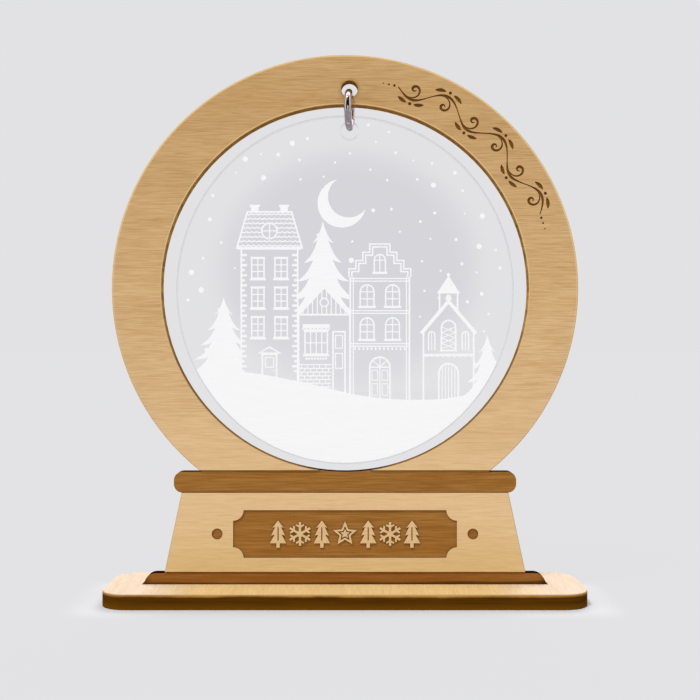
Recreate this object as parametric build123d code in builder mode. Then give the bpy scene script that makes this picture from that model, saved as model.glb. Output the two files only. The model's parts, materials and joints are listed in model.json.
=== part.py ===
from build123d import *
from math import cos, hypot, pi, radians, sin, sqrt
import os

# A flat-pack snow globe: an upright wooden plate stands in a slotted wooden base,
# and a clear acrylic disc hangs inside its ring from a split jump ring.
# Millimetres, +Z up. The front faces -Y. The origin is under the middle of the base.

os.makedirs("parts", exist_ok=True)

# ---------------------------------------------------------------- driving dimensions
SHEET = 4.0                 # thickness of the sheet that both wooden pieces are cut from
EDGE_BREAK = 0.15           # small bevel left along the cut edges
ENGRAVING_DEPTH = 0.4       # depth of the engraved bars, plaque and dots
SCROLL_DEPTH = 0.3          # depth of the finer engraved scrollwork

# upright plate: the round ring
RING_CENTRE_Z = 83.0
RING_OUTER_R = 62.2
RING_INNER_R = 49.0

# upright plate: the pedestal under the ring
TOP_BAR_HALF = 45.7
TOP_BAR_LOW = 28.4
TOP_BAR_HIGH = 34.0
TOP_BAR_CORNER = 2.3
PEDESTAL_HALF_HIGH = 43.6   # half-width where the pedestal meets the upper bar
PEDESTAL_HALF_LOW = 48.2    # half-width where it meets the foot bar
FOOT_HALF = 53.6
FOOT_HIGH = 6.9
FOOT_CORNER = 3.0
ENGRAVING_RISE = 0.45       # how far the engraved bands reach above their bars

# the plaque sunk into the pedestal
PLAQUE_HALF = 29.85
PLAQUE_LOW = 11.1
PLAQUE_HIGH = 23.8
PLAQUE_NOTCH_R = 2.8
DOT_X = 34.1
DOT_R = 1.45

# base
BASE_LENGTH = 126.6
BASE_DEPTH = 29.0
BASE_CORNER = 7.0
SLOT_HALF = 54.2
SLOT_PLAY = 0.1             # how much wider the slot is than the sheet

# hanging hole, split jump ring and acrylic disc
HANG_X = 1.2                # the hanging hole sits a little right of the middle
HANG_HOLE_Z = 136.1
HANG_HOLE_R = 2.2
WIRE_R = 1.0
JUMP_RING_INNER_R = 3.6
JUMP_RING_TURN = -6.0       # degrees that the jump ring stands turned about Z
SPLIT_GAP = 0.25            # opening between the two cut ends of the wire
SPLIT_FROM_TOP = 118.0      # degrees round the ring, behind the plate, to the split
HANGING_GAP = 0.03          # clearance left where one piece hangs on another
DISC_HALF_WIDTH = 45.1
DISC_HALF_HEIGHT = 46.6
DISC_CENTRE_Z = 82.6
DISC_THICKNESS = 3.0
DISC_HOLE_R = 2.4
DISC_EDGE_BREAK = 0.2

# ---------------------------------------------------------------- worked out from them
FRONT = Plane.XZ.offset(SHEET / 2)       # the upright plate's front face
MIDDLE = Plane.XZ                        # the plane midway through it

# The wire rests on the lower lip of the hanging hole, at both faces of the plate.
JUMP_RING_Z = HANG_HOLE_Z - HANG_HOLE_R - sqrt(JUMP_RING_INNER_R**2 - (SHEET / 2) ** 2) + HANGING_GAP
# The disc's hole rests on the inside of the ring, at both faces of the disc.
DISC_HOLE_TOP = JUMP_RING_Z - sqrt(JUMP_RING_INNER_R**2 - (DISC_THICKNESS / 2) ** 2) + HANGING_GAP
DISC_HOLE_Z = DISC_HOLE_TOP - DISC_HOLE_R

WIRE_CENTRE_R = JUMP_RING_INNER_R + WIRE_R
TURN = radians(JUMP_RING_TURN)
JUMP_RING_AXIS = Vector(cos(TURN), sin(TURN), 0)
JUMP_RING_BACK = Vector(-sin(TURN), cos(TURN), 0)
JUMP_RING_CENTRE = Vector(HANG_X, 0, JUMP_RING_Z)


# ---------------------------------------------------------------- base plate
with BuildPart() as base_plate:
    with BuildSketch(Plane.XY):
        RectangleRounded(BASE_LENGTH, BASE_DEPTH, BASE_CORNER)
    extrude(amount=SHEET)
    chamfer(base_plate.faces().sort_by(Axis.Z)[-1].edges(), length=EDGE_BREAK)
    with BuildSketch(Plane.XY):
        Rectangle(2 * SLOT_HALF, SHEET + SLOT_PLAY)
    extrude(amount=SHEET, mode=Mode.SUBTRACT)

base_plate.part.label = "base_plate"
export_step(base_plate.part, "parts/base_plate.step")


# ---------------------------------------------------------------- engraved motifs
# The motifs are small faces left standing in the sunk plaque, each about 7 mm high.
MOTIF_HALF_HEIGHT = 3.6
MOTIF_GAP = 0.75
FIR_TIERS = 3
FIR_HALF_WIDTH = 2.2
FIR_TRUNK_HALF = 0.45
FIR_TRUNK_HEIGHT = 1.1
FINE_LINE = 0.3             # width of a fine line engraved inside a motif
FLAKE_RADIUS = 3.15
FLAKE_ARM = 0.62
STAR_RADIUS = 3.4
STAR_WAIST = 0.45           # inner radius of a star, as a share of its outer radius


def fir_outline(half_width, high, low):
    """Corner points of a tiered fir with its tip at (0, high) and its hem at low."""
    right = [(0, high)]
    tier = (high - low) / FIR_TIERS
    for step in range(1, FIR_TIERS + 1):
        reach = half_width * (0.55 + 0.45 * step / FIR_TIERS)
        height = high - step * tier
        right.append((reach, height))
        if step < FIR_TIERS:
            right.append((reach * 0.5, height + 0.15 * tier))
    left = [(-x, z) for x, z in reversed(right[1:])]
    return right + left


def fir():
    """A fir with a trunk and one fine line engraved down its middle."""
    hem = -MOTIF_HALF_HEIGHT + FIR_TRUNK_HEIGHT
    with BuildSketch() as drawing:
        with BuildLine():
            Polyline(*fir_outline(FIR_HALF_WIDTH, MOTIF_HALF_HEIGHT, hem), close=True)
        make_face()
        with Locations((0, (hem - MOTIF_HALF_HEIGHT) / 2)):
            Rectangle(2 * FIR_TRUNK_HALF, FIR_TRUNK_HEIGHT + EDGE_BREAK)
        SlotOverall(MOTIF_HALF_HEIGHT, FINE_LINE, rotation=90, mode=Mode.SUBTRACT)
    return drawing.sketch


def star_points(outer):
    """Ten corner points of a five-pointed star standing on two points."""
    points = []
    for corner in range(10):
        radius = outer if corner % 2 == 0 else outer * STAR_WAIST
        angle = radians(90 + 36 * corner)
        points.append((radius * cos(angle), radius * sin(angle)))
    return points


def star():
    """A star with a smaller star outline engraved inside it."""
    with BuildSketch() as drawing:
        with BuildLine():
            Polyline(*star_points(STAR_RADIUS), close=True)
        make_face()
        with BuildLine():
            Polyline(*star_points(STAR_RADIUS * 0.62), close=True)
        make_face(mode=Mode.SUBTRACT)
        with BuildLine():
            Polyline(*star_points(STAR_RADIUS * 0.40), close=True)
        make_face()
    return drawing.sketch


def snowflake():
    """A six-armed snowflake with one pair of side twigs on each arm."""
    with BuildSketch() as drawing:
        Circle(FLAKE_RADIUS * 0.26)
        with PolarLocations(0, 3, start_angle=90, angular_range=180):
            Rectangle(2 * FLAKE_RADIUS, FLAKE_ARM)
        with PolarLocations(FLAKE_RADIUS * 0.58, 6, start_angle=90):
            with Locations(Location((0, 0), 60), Location((0, 0), -60)):
                with Locations((FLAKE_RADIUS * 0.17, 0)):
                    Rectangle(FLAKE_RADIUS * 0.42, FLAKE_ARM * 0.8)
    return drawing.sketch


def motif_row():
    """Every motif of the plaque, moved to its place in one centred row."""
    row = [fir(), snowflake(), fir(), star(), fir(), snowflake(), fir()]
    widths = [motif.bounding_box().size.X for motif in row]
    left = -(sum(widths) + MOTIF_GAP * (len(row) - 1)) / 2
    placed = []
    for motif, width in zip(row, widths):
        placed.append(motif.moved(Location((left + width / 2, (PLAQUE_LOW + PLAQUE_HIGH) / 2))))
        left += width + MOTIF_GAP
    return placed


# ---------------------------------------------------------------- engraved scrollwork
# A running vine along the upper right of the ring. It is drawn in (along, out):
# distance along the ring's middle line from the vine's middle, and distance outwards.
VINE_MIDDLE_ANGLE = 48.0    # degrees round the ring from +X
VINE_WAVE_LENGTH = 17.6
VINE_WAVE_HEIGHT = 2.35
VINE_WAVES = 3
VINE_THIN = 0.13
VINE_THICK = 0.36
CURL_START_R = 3.75
CURL_END_R = 0.45
CURL_TURNS = 1.5
CURL_SKIP = 0.066           # share of the spiral left out where it would run beside the stem
CURL_DROP = 0.55            # how far a curl's middle lies across the vine's middle line
LEAF_LENGTH = 2.7
LEAF_HALF = 0.42
BERRY_R = 0.42
END_BERRIES = 3             # shrinking dots that trail off at both ends of the vine
END_BERRY_PITCH = 1.5
BAND_R = (RING_OUTER_R + RING_INNER_R) / 2


def on_ring(along, out):
    """Point of the ring's face for a place in the vine's own (along, out) drawing."""
    angle = radians(VINE_MIDDLE_ANGLE) - along / BAND_R
    radius = BAND_R + out
    return (radius * cos(angle), RING_CENTRE_Z + radius * sin(angle))


def stroke_sides(centre_line, half_width, steps):
    """Both sides of a pen stroke, from its centre line and half-width, each over 0..1."""
    left, right = [], []
    for step in range(steps + 1):
        share = step / steps
        x0, y0 = centre_line(max(share - 0.01, 0))
        x1, y1 = centre_line(min(share + 0.01, 1))
        length = hypot(x1 - x0, y1 - y0)
        nx, ny = -(y1 - y0) / length, (x1 - x0) / length
        x, y = centre_line(share)
        w = half_width(share)
        left.append(on_ring(x + nx * w, y + ny * w))
        right.append(on_ring(x - nx * w, y - ny * w))
    return left, right


def swelling(share):
    """Half-width of a stroke that is thin at both ends and thick in the middle."""
    return VINE_THIN + (VINE_THICK - VINE_THIN) * sin(pi * share) ** 2


def stem_line(share):
    along = (share - 0.5) * VINE_WAVES * VINE_WAVE_LENGTH
    return along, VINE_WAVE_HEIGHT * sin(2 * pi * along / VINE_WAVE_LENGTH)


def stem_width(share):
    """The stem swells once in every half wave."""
    return VINE_THIN + (VINE_THICK - VINE_THIN) * sin(2 * pi * VINE_WAVES * share) ** 2


def curl_line(crest, side):
    """Centre line of the curl in the hollow under one crest of the stem."""

    def line(share):
        wound = CURL_SKIP + (1 - CURL_SKIP) * share
        radius = CURL_END_R + (CURL_START_R - CURL_END_R) * (1 - wound) ** 3
        turn = 2 * pi * CURL_TURNS * wound
        return crest - radius * cos(turn), side * (radius * sin(turn) - CURL_DROP)

    return line


def leaf_line(crest, side, lean):
    """Centre line of a leaf lying outside one crest of the stem."""

    def line(share):
        reach = 1.1 + LEAF_LENGTH * share
        return crest + lean * reach, side * (VINE_WAVE_HEIGHT + 0.95 + 0.16 * reach - 0.1 * reach**2)

    return line


def leaf_width(share):
    return 0.06 + LEAF_HALF * sin(pi * share) ** 0.8 if 0 < share < 1 else 0.06


STEM_STEPS = 12 * VINE_WAVES
strokes = [stroke_sides(stem_line, stem_width, STEM_STEPS)]
berries = []
for half_wave in range(2 * VINE_WAVES):
    crest = (half_wave + 0.5 - VINE_WAVES) * VINE_WAVE_LENGTH / 2
    side = 1 if sin(2 * pi * crest / VINE_WAVE_LENGTH) > 0 else -1
    strokes.append(stroke_sides(curl_line(crest, side), swelling, 24))
    strokes.append(stroke_sides(leaf_line(crest, side, 1), leaf_width, 6))
    strokes.append(stroke_sides(leaf_line(crest, side, -1), leaf_width, 6))
    berries.append((on_ring(crest, side * (VINE_WAVE_HEIGHT + 1.15)), BERRY_R))
for step in range(1, END_BERRIES + 1):
    reach = VINE_WAVES * VINE_WAVE_LENGTH / 2 + (step - 0.3) * END_BERRY_PITCH
    for along in (-reach, reach):
        berries.append((on_ring(along, 0), BERRY_R * (1 - 0.2 * step)))


# ---------------------------------------------------------------- upright plate
def plate_outline():
    """The whole silhouette: ring, upper bar, pedestal and foot bar."""
    with BuildSketch() as drawing:
        with Locations((0, RING_CENTRE_Z)):
            Circle(RING_OUTER_R)
        with Locations((0, (TOP_BAR_LOW + TOP_BAR_HIGH) / 2)):
            RectangleRounded(2 * TOP_BAR_HALF, TOP_BAR_HIGH - TOP_BAR_LOW, TOP_BAR_CORNER)
        with BuildLine():
            Polyline(
                (-PEDESTAL_HALF_HIGH, TOP_BAR_LOW + TOP_BAR_CORNER),
                (PEDESTAL_HALF_HIGH, TOP_BAR_LOW + TOP_BAR_CORNER),
                (PEDESTAL_HALF_HIGH, TOP_BAR_LOW),
                (PEDESTAL_HALF_LOW, FOOT_HIGH),
                (PEDESTAL_HALF_LOW, FOOT_HIGH - FOOT_CORNER),
                (-PEDESTAL_HALF_LOW, FOOT_HIGH - FOOT_CORNER),
                (-PEDESTAL_HALF_LOW, FOOT_HIGH),
                (-PEDESTAL_HALF_HIGH, TOP_BAR_LOW),
                close=True,
            )
        make_face()
        with Locations((0, FOOT_HIGH / 2)):
            RectangleRounded(2 * FOOT_HALF, FOOT_HIGH, FOOT_CORNER)
        with Locations((0, FOOT_CORNER / 2)):
            Rectangle(2 * FOOT_HALF, FOOT_CORNER)
        with Locations((0, RING_CENTRE_Z)):
            Circle(RING_INNER_R, mode=Mode.SUBTRACT)
        with Locations((HANG_X, HANG_HOLE_Z)):
            Circle(HANG_HOLE_R, mode=Mode.SUBTRACT)
    return drawing.sketch


def sunk_areas():
    """Everything engraved at full depth: two bands, the plaque round its motifs, two dots."""
    plaque_z = (PLAQUE_LOW + PLAQUE_HIGH) / 2
    plaque_half_height = (PLAQUE_HIGH - PLAQUE_LOW) / 2
    band_reach = TOP_BAR_HALF + SHEET
    with BuildSketch() as drawing:
        top_band_high = TOP_BAR_HIGH + ENGRAVING_RISE
        with Locations((0, (TOP_BAR_LOW + top_band_high) / 2)):
            Rectangle(2 * band_reach, top_band_high - TOP_BAR_LOW)
        foot_band_high = FOOT_HIGH + ENGRAVING_RISE
        with Locations((0, (SHEET + foot_band_high) / 2)):
            Rectangle(2 * FOOT_HALF + SHEET, foot_band_high - SHEET)
        with Locations((0, plaque_z)):
            Rectangle(2 * PLAQUE_HALF, 2 * plaque_half_height)
            with GridLocations(2 * PLAQUE_HALF, 2 * plaque_half_height, 2, 2):
                Circle(PLAQUE_NOTCH_R, mode=Mode.SUBTRACT)
        with Locations((-DOT_X, plaque_z), (DOT_X, plaque_z)):
            Circle(DOT_R)
        for motif in motif_row():
            add(motif, mode=Mode.SUBTRACT)
    return drawing.sketch


with BuildPart() as frame_plate:
    with BuildSketch(MIDDLE):
        add(plate_outline())
    extrude(amount=SHEET / 2, both=True)
    front_face = frame_plate.faces().sort_by(Axis.Y)[0]
    back_face = frame_plate.faces().sort_by(Axis.Y)[-1]
    chamfer(front_face.edges() + back_face.edges(), length=EDGE_BREAK)
    with BuildSketch(FRONT):
        add(sunk_areas())
    extrude(amount=-ENGRAVING_DEPTH, mode=Mode.SUBTRACT)
    with BuildSketch(FRONT):
        for left, right in strokes:
            with BuildLine():
                Spline(*left)
                Line(left[-1], right[-1])
                Spline(*reversed(right))
                Line(right[0], left[0])
            make_face()
        for place, radius in berries:
            with Locations(place):
                Circle(radius)
    extrude(amount=-SCROLL_DEPTH, mode=Mode.SUBTRACT)

frame_plate.part.label = "frame_plate"
export_step(frame_plate.part, "parts/frame_plate.step")


# ---------------------------------------------------------------- jump ring
split_angle = radians(SPLIT_FROM_TOP)
split_direction = Vector(0, 0, cos(split_angle)) + JUMP_RING_BACK * sin(split_angle)
half_gap_degrees = SPLIT_GAP / WIRE_CENTRE_R / 2 * 180 / pi
first_end = split_direction.rotate(Axis((0, 0, 0), JUMP_RING_AXIS), half_gap_degrees)
wire_section = Plane(
    origin=JUMP_RING_CENTRE,
    x_dir=first_end,
    z_dir=JUMP_RING_AXIS.cross(first_end),
)

with BuildPart() as jump_ring:
    with BuildSketch(wire_section):
        with Locations((WIRE_CENTRE_R, 0)):
            Circle(WIRE_R)
    revolve(
        axis=Axis(JUMP_RING_CENTRE, JUMP_RING_AXIS),
        revolution_arc=360 - 2 * half_gap_degrees,
    )

jump_ring.part.label = "jump_ring"
export_step(jump_ring.part, "parts/jump_ring.step")


# ---------------------------------------------------------------- acrylic disc
with BuildPart() as acrylic_disc:
    with BuildSketch(MIDDLE):
        with Locations((0, DISC_CENTRE_Z)):
            Ellipse(DISC_HALF_WIDTH, DISC_HALF_HEIGHT)
        with Locations((HANG_X, DISC_HOLE_Z)):
            Circle(DISC_HOLE_R, mode=Mode.SUBTRACT)
    extrude(amount=DISC_THICKNESS / 2, both=True)
    disc_front = acrylic_disc.faces().sort_by(Axis.Y)[0]
    disc_back = acrylic_disc.faces().sort_by(Axis.Y)[-1]
    rims = disc_front.outer_wire().edges() + disc_back.outer_wire().edges()
    chamfer(rims, length=DISC_EDGE_BREAK)

acrylic_disc.part.label = "acrylic_disc"
export_step(acrylic_disc.part, "parts/acrylic_disc.step")

print("jump ring centre", JUMP_RING_CENTRE, "axis", JUMP_RING_AXIS)
print("disc hole centre z", DISC_HOLE_Z)
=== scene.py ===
"""The looks of a flat-pack snow globe: laser-cut wood, a split steel ring and a frosted acrylic disc.

Metres, +Z up, and the front faces -Y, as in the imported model. The picture on the disc is drawn
in millimetres as flat shapes in (x, z) and turned into thin frosted pieces.
"""

import json
import random
from math import cos, hypot, pi, radians, sin, sqrt

import bpy
import numpy as np
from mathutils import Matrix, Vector
from mathutils.geometry import delaunay_2d_cdt


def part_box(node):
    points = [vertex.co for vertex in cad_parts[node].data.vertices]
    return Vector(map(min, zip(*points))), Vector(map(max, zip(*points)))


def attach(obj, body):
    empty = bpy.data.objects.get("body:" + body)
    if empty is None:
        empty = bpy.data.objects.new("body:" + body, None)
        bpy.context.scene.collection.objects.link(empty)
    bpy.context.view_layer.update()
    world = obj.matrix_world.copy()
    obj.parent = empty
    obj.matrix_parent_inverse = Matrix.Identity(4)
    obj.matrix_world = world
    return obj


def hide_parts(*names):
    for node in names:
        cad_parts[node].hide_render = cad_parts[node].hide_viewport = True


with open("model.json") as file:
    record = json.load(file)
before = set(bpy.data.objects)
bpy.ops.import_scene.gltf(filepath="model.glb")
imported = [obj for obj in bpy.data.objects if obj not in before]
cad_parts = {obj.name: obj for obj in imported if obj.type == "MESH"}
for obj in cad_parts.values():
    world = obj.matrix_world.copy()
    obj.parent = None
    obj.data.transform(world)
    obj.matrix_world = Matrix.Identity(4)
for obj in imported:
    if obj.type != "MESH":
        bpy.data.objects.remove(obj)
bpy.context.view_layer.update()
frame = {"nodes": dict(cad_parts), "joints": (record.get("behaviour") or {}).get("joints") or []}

MM = 0.001


# ------------------------------------------------------------------ shader helpers
def srgb(red, green, blue):
    """A colour given as 0 to 255 display values, as the shader's linear values."""
    linear = []
    for value in (red, green, blue):
        share = value / 255
        linear.append(share / 12.92 if share <= 0.04045 else ((share + 0.055) / 1.055) ** 2.4)
    return (*linear, 1.0)


def new_material(name):
    """An empty node material, with its node tree."""
    material = bpy.data.materials.new(name)
    material.use_nodes = True
    material.node_tree.nodes.clear()
    return material, material.node_tree


def node(tree, kind, inputs=None, **settings):
    """Adds a shader node. An input given as a socket is linked, and anything else is its value."""
    made = tree.nodes.new("ShaderNode" + kind)
    for name, value in settings.items():
        setattr(made, name, value)
    for name, value in (inputs or {}).items():
        if isinstance(value, bpy.types.NodeSocket):
            tree.links.new(value, made.inputs[name])
        else:
            made.inputs[name].default_value = value
    return made


def maths(tree, operation, first, second=0.0, third=0.0, clamp=False):
    made = node(tree, "Math", {0: first, 1: second, 2: third}, operation=operation, use_clamp=clamp)
    return made.outputs[0]


def rise(tree, value, low, high):
    """0 below low, 1 above high, and a smooth step between. Low may be the larger of the two."""
    inputs = {"Value": value, "From Min": low, "From Max": high}
    return node(tree, "MapRange", inputs, interpolation_type="SMOOTHSTEP").outputs["Result"]


def ramp(tree, value, low, high):
    """0 below low, 1 above high, and a straight line between."""
    inputs = {"Value": value, "From Min": low, "From Max": high}
    return node(tree, "MapRange", inputs).outputs["Result"]


def mixed(tree, share, first, second, blend="MIX"):
    """One colour mixed with another by a 0..1 share."""
    made = node(tree, "Mix", data_type="RGBA", blend_type=blend)
    for index, value in ((0, share), (6, first), (7, second)):
        if isinstance(value, bpy.types.NodeSocket):
            tree.links.new(value, made.inputs[index])
        else:
            made.inputs[index].default_value = value
    return made.outputs[2]


def noise(tree, place, stretch, detail=3.0, roughness=0.5, distortion=0.0):
    """Noise with its own size along each axis. stretch is how many waves there are per metre."""
    scaled = node(tree, "Mapping", {"Vector": place, "Scale": stretch})
    inputs = {
        "Vector": scaled.outputs[0],
        "Scale": 1.0,
        "Detail": detail,
        "Roughness": roughness,
        "Distortion": distortion,
    }
    return node(tree, "TexNoise", inputs).outputs[0]


def finish_surface(tree, inputs):
    """Ends the tree in one Principled shader."""
    shader = node(tree, "BsdfPrincipled", inputs)
    output = node(tree, "OutputMaterial")
    tree.links.new(shader.outputs[0], output.inputs["Surface"])
    return shader


def place_and_facing(tree):
    """The piece's own coordinates, its separate x, y, z and its separate normal."""
    where = node(tree, "TexCoord")
    place = where.outputs["Object"]
    at = node(tree, "SeparateXYZ", {0: place}).outputs
    facing = node(tree, "SeparateXYZ", {0: where.outputs["Normal"]}).outputs
    return place, at, facing


# ------------------------------------------------------------------ wood
# The places and sizes on the wood that its colours follow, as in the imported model.
RING_MIDDLE = Vector((0.0, 0.0, 83.0)) * MM
RING_OUTER_R = 62.2 * MM
RING_INNER_R = 49.0 * MM
HANG_HOLE = Vector((1.2, 0.0, 136.1)) * MM
FOOT_HALF = 53.6 * MM

WOOD_FOOT_SHADED = srgb(215, 185, 133)        # the upright's bare wood just above the foot, darkened as painted shade
WOOD_LOW = srgb(222, 189, 143)         # on the pedestal
WOOD_TOP_SHADED = srgb(201, 165, 115)         # at the top of the ring, darkened as painted shade
STREAK = srgb(236, 228, 216)           # what the grain multiplies the wood by
DARK_STREAK = srgb(206, 186, 158)
ENGRAVED = srgb(142, 95, 40)
ENGRAVED_LIGHT = srgb(163, 115, 59)
ENGRAVED_RED = srgb(126, 74, 24)
ENGRAVED_FINE = srgb(100, 62, 20)      # the scrollwork on the ring, burnt darker by its fine lines
CUT_BROWN = srgb(176, 136, 72)         # a laser-cut edge where the smoke passed lightly
CUT_DARK = srgb(124, 88, 44)
CUT_UNDERSIDE_SHADE = srgb(136, 90, 40)            # painted shade on a cut edge that faces down
CHAR_AND_SHADE_BLACK = srgb(30, 13, 9)            # char and painted contact shadow on the low ledges and along the foot
# a painted highlight along the ring's outer and inner rims
RIM_HIGHLIGHT = srgb(236, 202, 142)
SCORCH = srgb(160, 124, 66)
BASE_PALE = srgb(219, 200, 180)
# painted shade and painted reflected light from the upright, in the middle of the base top
BASE_GOLD_SHADED = srgb(218, 188, 133)
BASE_EDGE = srgb(84, 50, 6)
BASE_EDGE_DARK = srgb(70, 40, 4)
BASE_EDGE_LOW = srgb(98, 62, 10)
# a painted highlight along the top of the base's front edge, strongest in the middle
LIP_HIGHLIGHT = srgb(206, 156, 86)
WOOD_GLOSS = 0.0                       # specular level of dry, unsealed wood
WOOD_ROUGHNESS = 0.6
WOOD_RELIEF = 0.12                     # strength of the bump from the grain
RELIEF_DEPTH = 0.1 * MM

# Waves per metre of each kind of grain, along x, y and z. Wood grain here runs along x.
BANDS = (16, 30, 200)
STREAKS = (170, 170, 3600)
LINES = (110, 110, 3000)
PORES = (500, 500, 5200)


def grain_colour(tree, place, colour, contrast):
    """A wood colour with long soft bands, hair-fine streaks along X and short dark pores."""
    bands = rise(tree, noise(tree, place, BANDS, detail=2.0, distortion=0.3), 0.3, 0.7)
    streaks = rise(tree, noise(tree, place, STREAKS, detail=2.0, roughness=0.6), 0.32, 0.68)
    lines = rise(tree, noise(tree, place, LINES, detail=1.0), 0.58, 0.68)
    pores = rise(tree, noise(tree, place, PORES, detail=1.0), 0.66, 0.78)
    for share, strength, tone in (
        (bands, 0.34, STREAK),
        (streaks, 0.72, STREAK),
        (lines, 0.26, DARK_STREAK),
        (pores, 0.24, DARK_STREAK),
    ):
        strong = maths(tree, "MULTIPLY", maths(tree, "MULTIPLY", share, strength), contrast)
        colour = mixed(tree, strong, colour, tone, "MULTIPLY")
    height = maths(tree, "SUBTRACT", maths(tree, "MULTIPLY", streaks, -0.6), pores)
    return colour, height


def away_from(tree, at, middle):
    """How far a point of the upright lies from a middle, in the plane of its face."""
    across = maths(tree, "SUBTRACT", at["X"], middle.x)
    up = maths(tree, "SUBTRACT", at["Z"], middle.z)
    squares = maths(tree, "ADD", maths(tree, "POWER", across, 2.0), maths(tree, "POWER", up, 2.0))
    return maths(tree, "SQRT", squares)


def cut_edge(tree, place, at, facing):
    """The laser-cut edges: brown, mottled, with painted shade where they face down, and nearly black on the
    ledges low down from char and painted shade.
    """
    mottle = rise(tree, noise(tree, place, (420, 90, 420), detail=3.0, roughness=0.6), 0.35, 0.68)
    brown = mixed(tree, mottle, CUT_BROWN, CUT_DARK)
    # Painted shade: cut edges that face down are darker and redder.
    shaded_underside = maths(tree, "MULTIPLY", rise(tree, facing["Z"], -0.2, -0.9), 0.75)
    brown = mixed(tree, shaded_underside, brown, CUT_UNDERSIDE_SHADE)
    upwards = rise(tree, facing["Z"], 0.05, 0.5)
    brown = mixed(tree, upwards, brown, CUT_DARK)
    # Char and painted shade: up-facing ledges low down go nearly black.
    low = rise(tree, at["Z"], 36 * MM, 34.3 * MM)
    return mixed(tree, maths(tree, "MULTIPLY", upwards, low), brown, CHAR_AND_SHADE_BLACK)


def frame_wood():
    """The upright plate: bare wood with painted shade near the foot and at the ring's top, painted
    highlights on the ring's rims, engraved areas with painted contact shadow along the foot, and
    laser-burnt cut edges.
    """
    material, tree = new_material("frame_wood")
    place, at, facing = place_and_facing(tree)
    # Painted shade: the bare wood darkens towards the foot and towards the top of the ring.
    tone = mixed(tree, rise(tree, at["Z"], 8 * MM, 24 * MM), WOOD_FOOT_SHADED, WOOD_LOW)
    tone = mixed(tree, ramp(tree, at["Z"], 30 * MM, 132 * MM), tone, WOOD_TOP_SHADED)
    contrast = maths(tree, "MULTIPLY_ADD", rise(tree, at["Z"], 28 * MM, 70 * MM), 0.6, 0.62)
    colour, height = grain_colour(tree, place, tone, contrast)

    from_ring = away_from(tree, at, RING_MIDDLE)
    # Painted highlight: a pale band along the outer and inner rims of the ring, on its upper part only.
    above = rise(tree, at["Z"], 40 * MM, 120 * MM)
    outer_highlight = rise(tree, from_ring, RING_OUTER_R - 0.6 * MM, RING_OUTER_R - 0.2 * MM)
    inner_highlight = rise(tree, from_ring, RING_INNER_R + 0.5 * MM, RING_INNER_R + 0.1 * MM)
    rim_highlights = maths(tree, "MULTIPLY", maths(tree, "ADD", outer_highlight, inner_highlight), above)
    colour = mixed(tree, maths(tree, "MULTIPLY", rim_highlights, 0.85), colour, RIM_HIGHLIGHT)
    from_hole = away_from(tree, at, HANG_HOLE)
    smoke = noise(tree, place, (500, 500, 500), detail=2.0)
    reach = maths(tree, "MULTIPLY_ADD", smoke, -1.6 * MM, from_hole)
    scorch = maths(tree, "MULTIPLY", rise(tree, reach, 2.6 * MM, 1.4 * MM), 0.6)
    colour = mixed(tree, scorch, colour, SCORCH)

    sunk = rise(tree, at["Y"], -1.93 * MM, -1.75 * MM)
    front = rise(tree, facing["Y"], -0.4, -0.8)
    fine = noise(tree, place, LINES, detail=2.0, roughness=0.6)
    engraved = mixed(tree, rise(tree, fine, 0.3, 0.7), ENGRAVED, ENGRAVED_LIGHT)
    cloud = noise(tree, place, (16, 40, 640), detail=3.0, roughness=0.65)
    low = rise(tree, at["Z"], 9 * MM, 6 * MM)
    patchy = maths(tree, "MULTIPLY", rise(tree, cloud, 0.38, 0.62), 0.3)
    reddish = maths(tree, "MULTIPLY_ADD", low, 0.45, patchy)
    engraved = mixed(tree, reddish, engraved, ENGRAVED_RED)
    # Painted contact shadow: a wavering dark band along the foot where it enters the base, and darker at
    # the foot's ends.
    wander = noise(tree, place, (26, 40, 26), detail=2.0)
    wavy = maths(tree, "MULTIPLY_ADD", wander, -2.6 * MM, at["Z"])
    slot_shadow = maths(tree, "MULTIPLY", rise(tree, wavy, 3.6 * MM, 2.9 * MM), 0.62)
    foot_end = rise(tree, maths(tree, "ABSOLUTE", at["X"]), FOOT_HALF - 2.4 * MM, FOOT_HALF)
    foot_end = maths(tree, "MULTIPLY", maths(tree, "MULTIPLY", foot_end, low), 0.5)
    for char_and_shade in (slot_shadow, foot_end):
        engraved = mixed(tree, char_and_shade, engraved, CHAR_AND_SHADE_BLACK)
    on_ring = maths(tree, "MULTIPLY", rise(tree, at["Z"], 60 * MM, 80 * MM), 0.7)
    engraved = mixed(tree, on_ring, engraved, ENGRAVED_FINE)
    colour = mixed(tree, maths(tree, "MULTIPLY", sunk, front), colour, engraved)

    cut = rise(tree, maths(tree, "ABSOLUTE", facing["Y"]), 0.9, 0.5)
    colour = mixed(tree, cut, colour, cut_edge(tree, place, at, facing))
    finish_wood(tree, colour, height)
    return material


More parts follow.
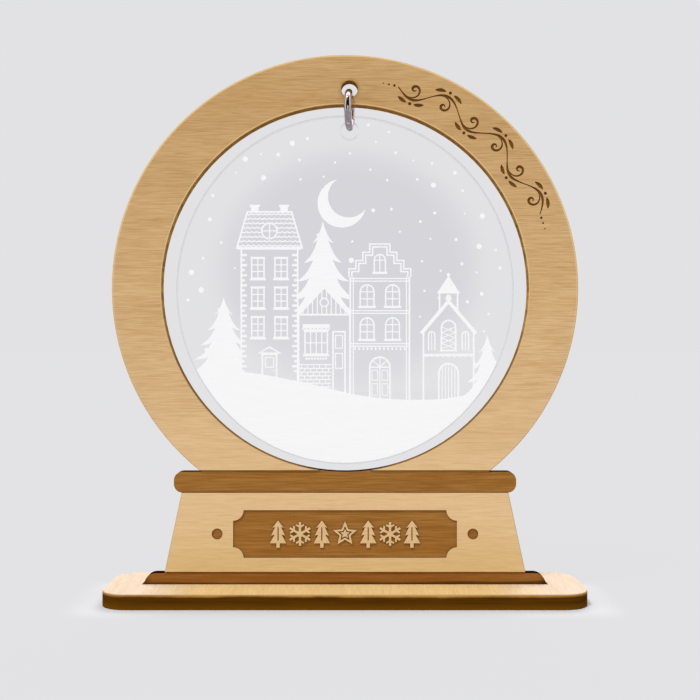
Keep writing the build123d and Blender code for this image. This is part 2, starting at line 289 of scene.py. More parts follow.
def base_wood():
    """The base: a paler top with its grain front to back and painted shade in its middle, and an edge that
    the laser burnt, with a painted highlight along its top.
    """
    material, tree = new_material("base_wood")
    place, at, facing = place_and_facing(tree)
    # Painted shade and reflected light: the top is darker and more golden in the middle, in front of the
    # upright, than at its pale ends.
    ends = rise(tree, maths(tree, "ABSOLUTE", at["X"]), 34 * MM, 56 * MM)
    front_to_back = node(tree, "CombineXYZ", {0: at["Y"], 1: at["Z"], 2: at["X"]}).outputs[0]
    colour, height = grain_colour(tree, front_to_back, mixed(tree, ends, BASE_GOLD_SHADED, BASE_PALE), 0.7)

    cut = rise(tree, maths(tree, "ABSOLUTE", facing["Z"]), 0.9, 0.5)
    streaks = noise(tree, place, (60, 200, 1500), detail=4.0, roughness=0.7)
    burnt = mixed(tree, rise(tree, streaks, 0.32, 0.7), BASE_EDGE, BASE_EDGE_DARK)
    burnt = mixed(tree, rise(tree, at["Z"], 2.2 * MM, 0.2 * MM), burnt, BASE_EDGE_LOW)
    colour = mixed(tree, cut, colour, burnt)
    # Painted highlight: a golden band with a wavering lower edge along the top of the cut edge, strongest
    # in the middle.
    lip_wobble = noise(tree, place, (55, 55, 55), detail=4.0, roughness=0.65)
    lip_edge_height = maths(tree, "MULTIPLY_ADD", lip_wobble, 1.1 * MM, at["Z"])
    middle = rise(tree, maths(tree, "ABSOLUTE", at["X"]), 60 * MM, 20 * MM)
    strong = maths(tree, "MULTIPLY_ADD", middle, 0.25, 0.65)
    rim = maths(tree, "MULTIPLY", rise(tree, lip_edge_height, 3.6 * MM, 4.5 * MM), strong)
    colour = mixed(tree, maths(tree, "MULTIPLY", rim, cut), colour, LIP_HIGHLIGHT)
    finish_wood(tree, colour, height)
    return material


def finish_wood(tree, colour, height):
    """Ends a wood's tree: dry and matt, with the grain as a slight bump."""
    relief = {"Height": height, "Strength": WOOD_RELIEF, "Distance": RELIEF_DEPTH}
    bump = node(tree, "Bump", relief)
    inputs = {"Base Color": colour, "Roughness": WOOD_ROUGHNESS, "Specular IOR Level": WOOD_GLOSS}
    inputs["Normal"] = bump.outputs[0]
    finish_surface(tree, inputs)


# ------------------------------------------------------------------ steel, acrylic, frosting
STEEL = srgb(230, 221, 228)
STEEL_WORN = srgb(212, 202, 210)
TINT_MIDDLE = Vector((1.0, 0.0, 88.0)) * MM
TINT_HALF_WIDE = 39.5 * MM
TINT_HALF_TALL = 36 * MM
MIDDLE_TINT = srgb(247.4, 247.4, 249.6)
SAWN_ACRYLIC = srgb(190, 190, 197)
RIM_COVER = 0.22            # how much the acrylic's cut rim hides what is behind it


def ring_steel():
    """Bright wire with faint drawing marks."""
    material, tree = new_material("ring_steel")
    place, _, _ = place_and_facing(tree)
    wear = noise(tree, place, (900, 900, 900), detail=3.0)
    roughness = maths(tree, "MULTIPLY_ADD", wear, 0.10, 0.03)
    tone = mixed(tree, rise(tree, wear, 0.35, 0.65), STEEL, STEEL_WORN)
    finish_surface(tree, {"Base Color": tone, "Metallic": 1.0, "Roughness": roughness})
    return material


def clear_acrylic():
    """Clear sheet with a faint lavender tint, darkest in its middle, and a milky cut rim."""
    material, tree = new_material("clear_acrylic")
    place, at, facing = place_and_facing(tree)
    # A lavender tint that grows darker towards the middle of the disc, weaker in its lower part.
    across = maths(tree, "DIVIDE", maths(tree, "SUBTRACT", at["X"], TINT_MIDDLE.x), TINT_HALF_WIDE)
    up = maths(tree, "DIVIDE", maths(tree, "SUBTRACT", at["Z"], TINT_MIDDLE.z), TINT_HALF_TALL)
    squares = maths(tree, "ADD", maths(tree, "POWER", across, 2.0), maths(tree, "POWER", up, 2.0))
    weaker_below = maths(tree, "MULTIPLY_ADD", rise(tree, at["Z"], 64 * MM, 82 * MM), 0.35, 0.65)
    tint_share = maths(tree, "MULTIPLY", rise(tree, maths(tree, "SQRT", squares), 1.0, 0.68), weaker_below)
    tint = mixed(tree, tint_share, (1, 1, 1, 1), MIDDLE_TINT)
    clear = node(tree, "BsdfTransparent", {"Color": tint})
    mirror = node(tree, "BsdfGlossy", {"Color": (1, 1, 1, 1), "Roughness": 0.03})
    outside = maths(tree, "SUBTRACT", 1.0, node(tree, "NewGeometry").outputs["Backfacing"])
    shine = maths(tree, "MULTIPLY", node(tree, "Fresnel", {"IOR": 1.49}).outputs[0], outside)
    face = node(tree, "MixShader", {0: shine})
    tree.links.new(clear.outputs[0], face.inputs[1])
    tree.links.new(mirror.outputs[0], face.inputs[2])
    sawn = node(tree, "BsdfDiffuse", {"Color": SAWN_ACRYLIC})
    cut = rise(tree, maths(tree, "ABSOLUTE", facing["Y"]), 0.9, 0.4)
    marks = noise(tree, place, (300, 60, 300), detail=2.0)
    cover = maths(tree, "MULTIPLY", maths(tree, "MULTIPLY_ADD", marks, 0.2, RIM_COVER - 0.1), cut)
    whole = node(tree, "MixShader", {0: cover})
    tree.links.new(face.outputs[0], whole.inputs[1])
    tree.links.new(sawn.outputs[0], whole.inputs[2])
    output = node(tree, "OutputMaterial")
    tree.links.new(whole.outputs[0], output.inputs["Surface"])
    return material


def frosted_white():
    """The raster-engraved picture: matt white with the laser's fine horizontal lines."""
    material, tree = new_material("frosted_white")
    place, _, _ = place_and_facing(tree)
    raster = noise(tree, place, (150, 150, 3600), detail=1.0)
    tone = mixed(tree, rise(tree, raster, 0.3, 0.7), srgb(242, 242, 242), srgb(240, 240, 240))
    bump = node(tree, "Bump", {"Height": raster, "Strength": 0.06, "Distance": 0.02 * MM})
    inputs = {"Base Color": tone, "Roughness": 0.75, "Specular IOR Level": 0.2, "Normal": bump.outputs[0]}
    finish_surface(tree, inputs)
    return material


def dress(name, material):
    """Gives a CAD node its Blender material."""
    slots = frame["nodes"][name].material_slots
    for slot in slots:
        slot.material = material


dress("frame_plate", frame_wood())
dress("base_plate", base_wood())
dress("acrylic_disc", clear_acrylic())


# ------------------------------------------------------------------ jump ring
WIRE_R = 1.0 * MM
WIRE_CENTRE_R = 4.6 * MM
SPLIT_GAP = 0.25 * MM
SPLIT_FROM_TOP = 118.0      # degrees round the ring, behind the plate
RING_STEPS = 128
WIRE_STEPS = 32


def jump_ring():
    """The split ring as a smooth round wire, in the CAD ring's place."""
    swing = next(joint for joint in frame["joints"] if joint["name"] == "disc_swing")
    middle, axle = Vector(swing["pos_m"]), Vector(swing["axis"]).normalized()
    up = Vector((0, 0, 1))
    back = up.cross(axle).normalized()
    half_gap = SPLIT_GAP / 2 / WIRE_CENTRE_R
    start = radians(SPLIT_FROM_TOP) + half_gap
    end = radians(SPLIT_FROM_TOP) - half_gap + 2 * pi
    bevel = 0.12 * MM
    points, faces = [], []
    stations = [(start, WIRE_R - bevel)]
    inset = bevel / WIRE_CENTRE_R
    for step in range(RING_STEPS + 1):
        stations.append((start + inset + (end - start - 2 * inset) * step / RING_STEPS, WIRE_R))
    stations.append((end, WIRE_R - bevel))
    for turn, wire in stations:
        outwards = up * cos(turn) + back * sin(turn)
        for side in range(WIRE_STEPS):
            lean = 2 * pi * side / WIRE_STEPS
            points.append(middle + outwards * (WIRE_CENTRE_R + wire * cos(lean)) + axle * wire * sin(lean))
    for ring in range(len(stations) - 1):
        for side in range(WIRE_STEPS):
            after = (side + 1) % WIRE_STEPS
            low, high = ring * WIRE_STEPS, (ring + 1) * WIRE_STEPS
            faces.append((low + side, low + after, high + after, high + side))
    last = (len(stations) - 1) * WIRE_STEPS
    faces.append(tuple(reversed(range(WIRE_STEPS))))
    faces.append(tuple(range(last, last + WIRE_STEPS)))
    mesh = bpy.data.meshes.new("steel_ring")
    mesh.from_pydata(points, [], faces)
    mesh.polygons.foreach_set("use_smooth", [len(face) == 4 for face in faces])
    mesh.materials.append(ring_steel())
    made = bpy.data.objects.new("steel_ring", mesh)
    bpy.context.scene.collection.objects.link(made)
    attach(made, "hanger")
    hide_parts("jump_ring")


jump_ring()


# ------------------------------------------------------------------ drawing kit
# The picture is flat shapes in millimetres, as (x, z), painted in order: a later shape covers
# an earlier one, and CLEAR wipes the disc clean again. Each shape belongs to a named piece.
CLEAR = "clear"
LINE = 0.46
FINE = 0.30
painted = []


def fill(piece, outline):
    """Paints the inside of one closed outline."""
    painted.append((piece, list(outline)))


def boxed(left, right, low, high):
    """The four corners of an upright rectangle."""
    return [(left, low), (right, low), (right, high), (left, high)]


def block(piece, left, right, low, high):
    fill(piece, boxed(left, right, low, high))


def circle(x, z, radius, sides):
    turns = [2 * pi * side / sides for side in range(sides)]
    return [(x + radius * cos(turn), z + radius * sin(turn)) for turn in turns]


def dot(piece, x, z, radius, sides=12):
    fill(piece, circle(x, z, radius, sides))


def offset(points, distance, closed=False):
    """The same line moved sideways to its left by a distance, with mitred corners."""
    count = len(points)
    moved = []
    for index, (x, z) in enumerate(points):
        normals = []
        for start in (index - 1, index):
            if not closed and (start < 0 or start + 1 >= count):
                continue
            x0, z0 = points[start % count]
            x1, z1 = points[(start + 1) % count]
            length = hypot(x1 - x0, z1 - z0)
            normals.append((-(z1 - z0) / length, (x1 - x0) / length))
        across_x = sum(normal[0] for normal in normals)
        across_z = sum(normal[1] for normal in normals)
        length = hypot(across_x, across_z)
        across_x, across_z = across_x / length, across_z / length
        mitre = max(across_x * normals[0][0] + across_z * normals[0][1], 0.4)
        moved.append((x + across_x * distance / mitre, z + across_z * distance / mitre))
    return moved


def stroke(piece, points, width=LINE, closed=False):
    """A pen line of even width along the points, one small quad for each step."""
    left = offset(points, width / 2, closed)
    right = offset(points, -width / 2, closed)
    for index in range(len(points) if closed else len(points) - 1):
        after = (index + 1) % len(points)
        fill(piece, [left[index], right[index], right[after], left[after]])


def bow(start, bend, end, steps=8):
    """Points of a simple curve from start to end, pulled towards bend."""
    points = []
    for step in range(steps + 1):
        t = step / steps
        weights = ((1 - t) ** 2, 2 * t * (1 - t), t * t)
        points.append(
            tuple(sum(w * p[axis] for w, p in zip(weights, (start, bend, end))) for axis in (0, 1))
        )
    return points


def smooth(points, steps=8):
    """A smooth curve through all the points."""
    padded = [points[0], *points, points[-1]]
    curve = []
    for before, start, end, after in zip(padded, padded[1:], padded[2:], padded[3:]):
        for step in range(steps):
            t = step / steps
            place = []
            for axis in (0, 1):
                a, b, c, d = before[axis], start[axis], end[axis], after[axis]
                bend = (2 * a - 5 * b + 4 * c - d) * t * t + (3 * b - a - 3 * c + d) * t**3
                place.append(b + ((c - a) * t + bend) / 2)
            curve.append(tuple(place))
    return [*curve, points[-1]]


def mirrored(points, middle):
    """The points followed by their mirror image about x = middle, as one line."""
    return [*points, *[(2 * middle - x, z) for x, z in reversed(points)]]


def arch(middle, half, low, high, steps=10):
    """Outline of an opening with a round head, from its lower left to its lower right."""
    spring = high - half
    head = []
    for step in range(steps + 1):
        turn = pi * (1 - step / steps)
        head.append((middle + half * cos(turn), spring + half * sin(turn)))
    return [(middle - half, low), *head, (middle + half, low)]


def arched_window(piece, middle, half, low, high, bars=2):
    """A round-headed window with a middle bar, crossbars, an inner frame and a sill."""
    stroke(piece, arch(middle, half, low, high), FINE * 1.3)
    stroke(piece, [(middle, low), (middle, high)], FINE)
    straight = high - half - low
    for bar in range(1, bars + 1):
        height = low + straight * bar / bars
        stroke(piece, [(middle - half, height), (middle + half, height)], FINE)
    block(piece, middle - half - 0.5, middle + half + 0.5, low - 0.6, low)


def square_window(piece, middle, half, low, high, columns=2, rows=3):
    """A square-headed window with glazing bars, a lintel and a sill."""
    stroke(piece, boxed(middle - half, middle + half, low, high), FINE * 1.3, closed=True)
    for column in range(1, columns):
        x = middle - half + 2 * half * column / columns
        stroke(piece, [(x, low), (x, high)], FINE)
    for row in range(1, rows):
        height = low + (high - low) * row / rows
        stroke(piece, [(middle - half, height), (middle + half, height)], FINE)
    block(piece, middle - half - 0.5, middle + half + 0.5, low - 0.6, low)
    block(piece, middle - half - 0.3, middle + half + 0.3, high, high + 0.4)


def corner_stones(piece, wall, inwards, low, high):
    """Long and short stones up the corner of a house. inwards is 1 or -1, towards the wall."""
    pitch = 1.35
    for stone in range(int((high - low) / pitch)):
        reach = 1.5 if stone % 2 else 0.95
        base = low + stone * pitch
        left, right = sorted((wall, wall + inwards * reach))
        block(piece, left, right, base, base + 0.62)


def scallops(piece, start, end, height, drop, count, width=FINE):
    """A row of hanging half-round curves."""
    step = (end - start) / count
    for index in range(count):
        x = start + index * step
        stroke(piece, bow((x, height), (x + step / 2, height - 2 * drop), (x + step, height), 5), width)


def fir(piece, apex, half, tall, tiers):
    """A solid fir of drooping tiers that widen evenly from the apex down."""
    edge = []
    here = (0.0, 0.0)
    for tier in range(1, tiers + 1):
        share = tier / tiers
        tip = (half * share**0.85, tall * share**0.92)
        notch = (tip[0] * 0.52, tip[1] - 0.032 * tall)
        bend = (here[0] + 0.30 * (tip[0] - here[0]), here[1] + 0.68 * (tip[1] - here[1]))
        edge += bow(here, bend, tip, 6)[:-1]
        edge += bow(tip, (notch[0] + 0.4 * (tip[0] - notch[0]), tip[1] - 0.1), notch, 4)[:-1]
        here = notch
    edge += [here, (here[0], apex[1] - GROUND)]
    right = [(apex[0] + out, apex[1] - down) for out, down in edge]
    left = [(apex[0] - out, apex[1] - down) for out, down in reversed(edge[1:])]
    fill(piece, right + left)


# ------------------------------------------------------------------ the winter village
GROUND = 52.0               # below the snow everywhere
SKY_MIDDLE = 82.6
DISC_HALF_WIDE = 45.1
DISC_HALF_TALL = 46.6
PICTURE_MARGIN = 0.45
DISC_HOLE = (1.2, 125.3)
SNOWFLAKES = 96
SNOW_TRIES = 9000
FLAKE_SPACING = 4.3
FLAKE_SIZES = (0.26, 0.30, 0.34, 0.38, 0.44, 0.52, 0.72)


def falling_snow():
    """Dots of snow scattered over the sky, kept apart from each other."""
    draw = random.Random(24)
    placed = []
    tries = 0
    while len(placed) < SNOWFLAKES and tries < SNOW_TRIES:
        tries += 1
        x = draw.uniform(-43, 43)
        z = draw.uniform(60, 128)
        radius = draw.choice(FLAKE_SIZES)
        inside = hypot(x / (DISC_HALF_WIDE - 2), (z - SKY_MIDDLE) / (DISC_HALF_TALL - 2)) < 1
        near_hole = hypot(x - DISC_HOLE[0], z - DISC_HOLE[1]) < 4.5
        near_moon = hypot(x + 0.6, z - 106.0) < 7.6
        near_roof = -31 < x < -9.5 and 90 < z < 107
        apart = all(hypot(x - other_x, z - other_z) > FLAKE_SPACING for other_x, other_z in placed)
        if inside and apart and not (near_hole or near_moon or near_roof):
            placed.append((x, z))
            dot("snowfall", x, z, radius)


def moon():
    """A crescent: one disc with another cleared out of it."""
    dot("moon", -0.85, 105.7, 6.5, 64)
    dot(CLEAR, 1.0, 107.45, 5.55, 64)


def townhouse():
    """A tall plain house: hipped roof of round tiles, three floors, a door under a pediment."""
    piece = "townhouse"
    left, right = -27.7, -12.65
    middle = (left + right) / 2
    eave, roof_top = 93.8, 103.4
    roof = [(left - 1.2, eave), (right + 1.2, eave), (right - 1.6, roof_top), (left + 1.6, roof_top)]

    block(CLEAR, left, right, GROUND, eave)
    fill(CLEAR, roof)
    rows = 8
    for row in range(rows):
        share = row / rows
        inset = -1.2 + 2.8 * share
        height = eave + 0.75 + (roof_top - eave) * share
        scallops(piece, left + inset + 0.2, right - inset - 0.2, height, 0.34, 12 - row // 3, FINE * 1.1)
    stroke(piece, roof, LINE, closed=True)
    block(piece, left - 1.0, right + 1.0, eave - 0.5, eave)
    for side in (-1, 1):
        chimney = middle + side * 3.9
        block(piece, chimney - 1.0, chimney + 1.0, roof_top, roof_top + 1.3)
        block(piece, chimney - 1.35, chimney + 1.35, roof_top + 1.3, roof_top + 1.9)

    dot(CLEAR, middle, 98.3, 2.3, 32)
    stroke(piece, circle(middle, 98.3, 2.05, 32), FINE * 1.4, closed=True)
    stroke(piece, [(middle, 96.3), (middle, 100.3)], FINE)
    stroke(piece, [(middle - 2.0, 98.3), (middle + 2.0, 98.3)], FINE)

    for wall, inwards in ((left, 1), (right, -1)):
        stroke(piece, [(wall, GROUND), (wall, eave)])
        corner_stones(piece, wall, inwards, 60.5, eave - 0.8)
    for top in (91.0, 83.1, 75.2):
        for side in (-1, 1):
            square_window(piece, middle + side * 3.1, 1.65, top - 5.3, top)

    door_top = 65.4
    jambs = boxed(middle - 1.9, middle + 1.9, GROUND, door_top)
    stroke(piece, [jambs[0], jambs[3], jambs[2], jambs[1]])
    pediment = [(middle - 2.7, door_top + 0.3), (middle, 67.3), (middle + 2.7, door_top + 0.3)]
    stroke(piece, pediment, LINE, closed=True)
    stroke(piece, boxed(middle - 1.1, middle + 1.1, 61.9, 64.5), FINE, closed=True)
    dot(piece, middle + 1.2, 61.0, 0.25, 8)


def cottage():
    """A low house with a boarded gable, a shop window under an awning, a door and a brick foot."""
    piece = "cottage"
    left, right = -12.4, 1.3
    middle = (left + right) / 2
    eave, ridge = 76.2, 83.6
    fill(CLEAR, [(left, GROUND), (right, GROUND), (right, eave), (middle, ridge), (left, eave)])
    boards = 11
    for board in range(1, boards):
        x = left + (right - left) * board / boards
        top = ridge - (ridge - eave) * abs(x - middle) / (right - middle) - 0.6
        stroke(piece, [(x, eave), (x, top)], FINE)
    dot(CLEAR, middle, 79.2, 1.3, 20)
    stroke(piece, circle(middle, 79.2, 1.1, 20), FINE * 1.3, closed=True)
    stroke(piece, [(left - 0.2, eave - 0.2), (middle, ridge), (right + 0.2, eave - 0.2)], 1.0)
    block(piece, left, right, eave - 0.5, eave)

    glass_left, glass_right = left + 1.7, left + 7.7
    glass = (glass_left + glass_right) / 2
    square_window(piece, glass, 3.0, 65.4, 71.4, 4, 2)
    block(piece, glass_left - 0.6, glass_right + 0.6, 72.4, 73.4)
    scallops(piece, glass_left - 0.6, glass_right + 0.6, 72.4, 0.55, 7, FINE * 1.2)
    for flower in range(8):
        dot(piece, glass_left + 0.4 + flower * 0.75, 64.2, 0.33, 8)

    door = right - 2.9
    stroke(piece, [(door - 1.6, GROUND), (door - 1.6, 71.4), (door + 1.6, 71.4), (door + 1.6, GROUND)])
    stroke(piece, boxed(door - 0.95, door + 0.95, 67.0, 70.4), FINE, closed=True)
    stroke(piece, boxed(door - 0.95, door + 0.95, 61.6, 65.6), FINE, closed=True)

    for wall in (left, right):
        stroke(piece, [(wall, GROUND), (wall, eave)])
    foot_end = door - 2.1
    courses = 8
    for course in range(courses):
        height = 62.6 - course * 1.0
        stroke(piece, [(left, height), (foot_end, height)], FINE)
        x = left + 0.8 + (course % 2) * 0.8
        while x < foot_end:
            stroke(piece, [(x, height - 1.0), (x, height)], FINE * 0.8)
            x += 1.6


def gable_house():
    """A tall house with a crow-stepped gable, arched windows and a double door."""
    piece = "gable_house"
    middle = 9.3
    half = 7.9
    foot, rise_each, run_each = 86.0, 2.2, 1.85
    profile = []
    for step in range(4):
        edge = middle - (half + 0.35 - step * run_each)
        profile += [(edge, foot + step * rise_each), (edge, foot + (step + 1) * rise_each)]
    outer = mirrored(profile, middle)
    fill(CLEAR, [(middle - half, GROUND), *outer, (middle + half, GROUND)])
    for outline in (outer, offset(outer, -0.78)):
        stroke(piece, outline, FINE * 1.3)
    for side in (-1, 1):
        wall = middle + side * half
        stroke(piece, [(wall, GROUND), (wall, foot)])
        stroke(piece, [(wall - side * 0.8, GROUND), (wall - side * 0.8, foot)], FINE)

    arched_window(piece, middle, 1.5, 87.4, 92.0, 1)
    for band in (85.6, 77.0, 68.2):
        for height in (band, band - 0.7):
            stroke(piece, [(middle - half, height), (middle + half, height)], FINE)
    for top in (83.9, 75.1):
        for side in (-1, 1):
            arched_window(piece, middle + side * 3.4, 1.85, top - 5.6, top)
    for dentil in range(13):
        x = middle - half + 1.3 + dentil * (2 * half - 2.6) / 12
        block(piece, x - 0.22, x + 0.22, 66.5, 67.2)

    stroke(piece, arch(middle, 2.7, GROUND, 64.6), LINE)
    stroke(piece, [(middle - 2.7, 61.9), (middle + 2.7, 61.9)], FINE * 1.2)
    for turn in (45, 90, 135):
        rim = (middle + 2.6 * cos(radians(turn)), 61.9 + 2.6 * sin(radians(turn)))
        stroke(piece, [(middle, 61.9), rim], FINE)
    stroke(piece, [(middle, GROUND), (middle, 61.9)], FINE)
    for side in (-1, 1):
        panel = middle + side * 1.35
        for low, high in ((58.4, 61.1), (54.4, 57.5)):
            stroke(piece, boxed(panel - 0.75, panel + 0.75, low, high), FINE * 0.8, closed=True)


def chapel():
    """A little chapel with an open belfry, a lattice window and a planked door."""
    piece = "chapel"
    middle = 27.65
    half = 6.7
    eave, apex = 71.4, 79.5
    post, belfry_top = 2.4, 81.6
    block(CLEAR, middle - post, middle + post, 75.0, belfry_top)
    wall_outline = [(middle - half, GROUND), (middle + half, GROUND), (middle + half, eave), (middle, apex)]
    fill(CLEAR, [*wall_outline, (middle - half, eave)])
    for side in (-1, 1):
        stroke(piece, [(middle + side * post, apex - 3.0), (middle + side * post, belfry_top)], LINE)
        stroke(piece, [(middle + side * half, GROUND), (middle + side * half, eave)], LINE)
    fill(piece, [(middle - 3.1, belfry_top), (middle + 3.1, belfry_top), (middle, 86.4)])
    dot(piece, middle, 86.6, 0.5)
    bell = [(middle - 0.95, 79.9), (middle + 0.95, 79.9), (middle + 0.45, 81.3), (middle - 0.45, 81.3)]
    fill(piece, bell)
    roof = [(middle - half - 0.6, eave - 0.5), (middle, apex), (middle + half + 0.6, eave - 0.5)]
    stroke(piece, roof, 0.95)

    low, high, wide = 66.6, 74.4, 1.9
    stroke(piece, arch(middle, wide, low, high), LINE)
    block(piece, middle - wide - 0.4, middle + wide + 0.4, low - 0.5, low)
    for rung in range(4):
        height = low + 0.2 + rung * 1.45
        for lean in (-wide, wide):
            stroke(piece, [(middle - lean, height), (middle + lean, height + 1.5)], FINE * 0.8)
    for side in (-1, 1):
        lancet = middle + side * 4.5
        stroke(piece, arch(lancet, 0.85, 66.4, 71.4, 6), FINE * 1.2)
        stroke(piece, [(lancet, 66.4), (lancet, 71.4)], FINE * 0.8)

    stroke(piece, arch(middle, 2.6, GROUND, 62.9), LINE)
    for plank in range(-2, 3):
        x = middle + plank * 0.85
        stroke(piece, [(x, GROUND), (x, 60.3 + sqrt(2.6**2 - (x - middle) ** 2))], FINE * 0.8)
    stroke(piece, [(middle - half, 65.3), (middle + half, 65.3)], FINE * 1.2)
    scallops(piece, middle - half, middle + half, 65.3, 0.5, 9, FINE * 1.2)


def snow_bank():
    """Low rounded drifts, higher at both sides than in the middle."""
    left_drift = [(-48, 60.0), (-36, 61.2), (-24, 60.2), (-10, 57.6)]
    right_drift = [(4, 54.4), (18, 53.2), (32, 54.4), (48, 60.5)]
    fill("snow_bank", [*smooth([*left_drift, *right_drift]), (48, 30), (-48, 30)])


def paint_picture():
    falling_snow()
    moon()
    fir("tall_fir", (-5.9, 101.0), 11.0, 26.0, 5)
    fir("left_fir", (-32.4, 80.6), 9.6, 20.5, 5)
    townhouse()
    gable_house()
    cottage()
    chapel()
    fir("right_fir", (38.0, 70.6), 6.8, 16.5, 4)
    snow_bank()


# ------------------------------------------------------------------ from drawing to frosted pieces
PROUD = 0.03 * MM           # how far the frosting stands out of the disc's front face
SUNK = 0.10 * MM            # and how far it reaches into the disc
CUT_TOLERANCE = 0.0005      # millimetres within which two drawn points are one


def disc_rim(margin, sides=240):
    """The disc's own outline drawn in by a margin."""
    turns = [2 * pi * side / sides for side in range(sides)]
    return [
        ((DISC_HALF_WIDE - margin) * cos(turn), SKY_MIDDLE + (DISC_HALF_TALL - margin) * sin(turn))
        for turn in turns
    ]


def inside(outline, places):
    """Which of the places lie inside a closed outline, by counting the edges beside each one."""
    x, z = places.T
    odd = np.zeros(len(places), bool)
    for (x0, z0), (x1, z1) in zip(outline, [*outline[1:], outline[0]]):
        if z0 != z1:
            beside = x < (x1 - x0) * (z - z0) / (z1 - z0) + x0
            odd ^= ((z0 > z) != (z1 > z)) & beside
    return odd


def resolve(shapes):
    """Cuts all the shapes into triangles and gives each triangle to the shape painted last there."""
    points, edges = [], []
    for _, outline in shapes:
        first, count = len(points), len(outline)
        edges += [(first + step, first + (step + 1) % count) for step in range(count)]
        points += [Vector(point) for point in outline]
    places, _, triangles = delaunay_2d_cdt(points, edges, [], 0, CUT_TOLERANCE, False)[:3]
    corners = np.array([place[:] for place in places])
    middles = corners[np.array(triangles)].mean(axis=1)
    top = np.full(len(triangles), -1)
    for index, (_, outline) in enumerate(shapes):
        low, high = np.min(outline, axis=0), np.max(outline, axis=0)
        near = np.flatnonzero(((middles > low) & (middles < high)).all(axis=1))
        top[near[inside(outline, middles[near])]] = index
    on_disc = inside(disc_rim(PICTURE_MARGIN), middles)
    owned = {}
    for triangle, index, kept in zip(triangles, top, on_disc):
        if kept and index >= 0 and shapes[index][0] != CLEAR:
            owned.setdefault(shapes[index][0], []).append(triangle)
    return places, owned


def frosted_piece(name, places, triangles, front, back, material):
    """A thin closed slab with these triangles as its face."""
    index_of, corners = {}, []
    for triangle in triangles:
        for corner in triangle:
            if corner not in index_of:
                index_of[corner] = len(corners)
                corners.append(places[corner])
    count = len(corners)
    points = [(x * MM, front, z * MM) for x, z in corners] + [(x * MM, back, z * MM) for x, z in corners]
    faces, edges = [], {}
    for triangle in triangles:
        a, b, c = (index_of[corner] for corner in triangle)
        faces.append((a, b, c))
        faces.append((c + count, b + count, a + count))
        for edge in ((a, b), (b, c), (c, a)):
            if edge[::-1] in edges:
                del edges[edge[::-1]]
            else:
                edges[edge] = True
    for a, b in edges:
        faces.append((b, a, a + count, b + count))
    mesh = bpy.data.meshes.new(name)
    mesh.from_pydata(points, [], faces)
    mesh.materials.append(material)
    made = bpy.data.objects.new(name, mesh)
    bpy.context.scene.collection.objects.link(made)
    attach(made, "ornament")
    return made


def frost_the_disc():
    disc_low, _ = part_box("acrylic_disc")
    front, back = disc_low.y - PROUD, disc_low.y + SUNK
    # The rim is painted first, so that everything painted later is cut cleanly along it.
    fill(CLEAR, disc_rim(PICTURE_MARGIN))
    paint_picture()
    places, owned = resolve(painted)
    material = frosted_white()
    for name in sorted(owned):
        frosted_piece(name, places, owned[name], front, back, material)


frost_the_disc()


# ------------------------------------------------------------------ studio
BACKGROUND = srgb(226, 226, 228)
DARK_CARD = 0.01            # brightness of the cards that only shiny surfaces see
FLOOR_CARD = 0.34
BRIGHT_CARD = 2.2
CARD_Y = -330               # millimetres, just behind the camera
LIGHTS = (                  # name, strength, softness in degrees, direction it shines in
    ("key_light", 2.05, 16, (0.32, 0.47, -0.88)),
    ("back_light", 1.0, 30, (-0.15, -0.70, -0.70)),
)
FLOOR_HALF = 60.0
FLOOR_TONE = 0.575          # of the part of the floor that takes light and shadow
SHADOW_REACH = 11 * MM      # how far from the base the floor shows its shadow
SHADOW_FAR = 0.05           # how much of it shows farther away


def flat_rectangle(name, corners, material):
    mesh = bpy.data.meshes.new(name)
    mesh.from_pydata([tuple(corner) for corner in corners], [], [(0, 1, 2, 3)])
    mesh.materials.append(material)
    made = bpy.data.objects.new(name, mesh)
    bpy.context.scene.collection.objects.link(made)
    return made


def floor_paint():
    """A pale floor as bright as the backdrop, with a contact shadow round the base."""
    material, tree = new_material("floor_paint")
    _, at, _ = place_and_facing(tree)
    base_low, base_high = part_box("base_plate")
    beyond = []
    for axis in ("X", "Y"):
        half = (getattr(base_high, axis.lower()) - getattr(base_low, axis.lower())) / 2
        middle = (getattr(base_high, axis.lower()) + getattr(base_low, axis.lower())) / 2
        from_middle = maths(tree, "ABSOLUTE", maths(tree, "SUBTRACT", at[axis], middle))
        out = maths(tree, "MAXIMUM", maths(tree, "SUBTRACT", from_middle, half), 0.0)
        beyond.append(maths(tree, "POWER", out, 2.0))
    away = maths(tree, "SQRT", maths(tree, "ADD", *beyond))
    share = maths(tree, "MULTIPLY_ADD", rise(tree, away, SHADOW_REACH, 0.0), 1 - SHADOW_FAR, SHADOW_FAR)
    glow = node(tree, "Emission", {"Color": BACKGROUND})
    tone = tuple(FLOOR_TONE * value for value in (1.0, 1.0, 1.02)) + (1.0,)
    paint = node(tree, "BsdfDiffuse", {"Color": tone})
    both = node(tree, "MixShader", {0: share})
    tree.links.new(glow.outputs[0], both.inputs[1])
    tree.links.new(paint.outputs[0], both.inputs[2])
    output = node(tree, "OutputMaterial")
    tree.links.new(both.outputs[0], output.inputs["Surface"])
    return material


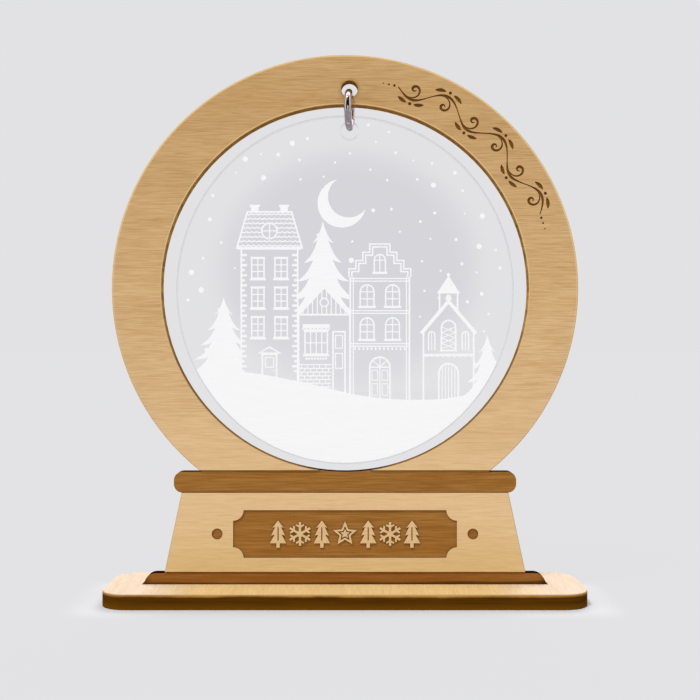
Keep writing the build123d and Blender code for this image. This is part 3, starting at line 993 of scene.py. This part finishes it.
def card(name, corners, brightness):
    """A card that only shiny surfaces see, to give the steel its dark and light patches."""
    material, tree = new_material(name + "_paint")
    shader = node(tree, "Emission", {"Color": (brightness, brightness, brightness, 1.0)})
    output = node(tree, "OutputMaterial")
    tree.links.new(shader.outputs[0], output.inputs["Surface"])
    made = flat_rectangle(name, [Vector(corner) * MM for corner in corners], material)
    made.visible_camera = False
    made.visible_diffuse = False
    made.visible_transmission = False
    made.visible_shadow = False


def studio():
    """A pale seamless floor and backdrop, soft light from above, the front and the left, and a
    weaker light from behind."""
    scene = bpy.context.scene
    scene.view_settings.view_transform = "Standard"
    world = bpy.data.worlds.new("pale_studio")
    world.use_nodes = True
    world.node_tree.nodes["Background"].inputs["Color"].default_value = BACKGROUND
    scene.world = world

    for name, strength, softness, towards in LIGHTS:
        light = bpy.data.lights.new(name, "SUN")
        light.energy = strength
        light.angle = radians(softness)
        made = bpy.data.objects.new(name, light)
        made.rotation_mode = "QUATERNION"
        made.rotation_quaternion = Vector(towards).to_track_quat("-Z", "Y")
        scene.collection.objects.link(made)

    square = ((-1, -1), (1, -1), (1, 1), (-1, 1))
    flat_rectangle("floor", [(FLOOR_HALF * x, FLOOR_HALF * y, 0) for x, y in square], floor_paint())
    for name, left, right, low, high in (
        ("front_card", -420, 420, 207, 900),
        ("left_card", -420, -100, 100, 207),
        ("right_card", 130, 420, 100, 207),
    ):
        card(name, [(x, CARD_Y, z) for x, z in boxed(left, right, low, high)], DARK_CARD)
    card("top_card", [(x, y, 800) for x, y in boxed(-420, 420, -90, 600)], BRIGHT_CARD)
    card("floor_card", [(1500 * x, 1500 * y, 0.02) for x, y in square], FLOOR_CARD)


studio()

# ------------------------------------------------------------------ camera
CAMERA_PLACE = Vector((1.33, -300.4, 66.5)) * MM
CAMERA_LENS = 57.55         # on a 36 mm sensor


def camera():
    data = bpy.data.cameras.new("camera")
    data.lens = CAMERA_LENS
    data.sensor_width = 36.0
    data.clip_start = 0.01
    data.clip_end = 200.0
    made = bpy.data.objects.new("camera", data)
    made.location = CAMERA_PLACE
    made.rotation_euler = (pi / 2, 0, 0)
    bpy.context.scene.collection.objects.link(made)
    bpy.context.scene.camera = made


camera()
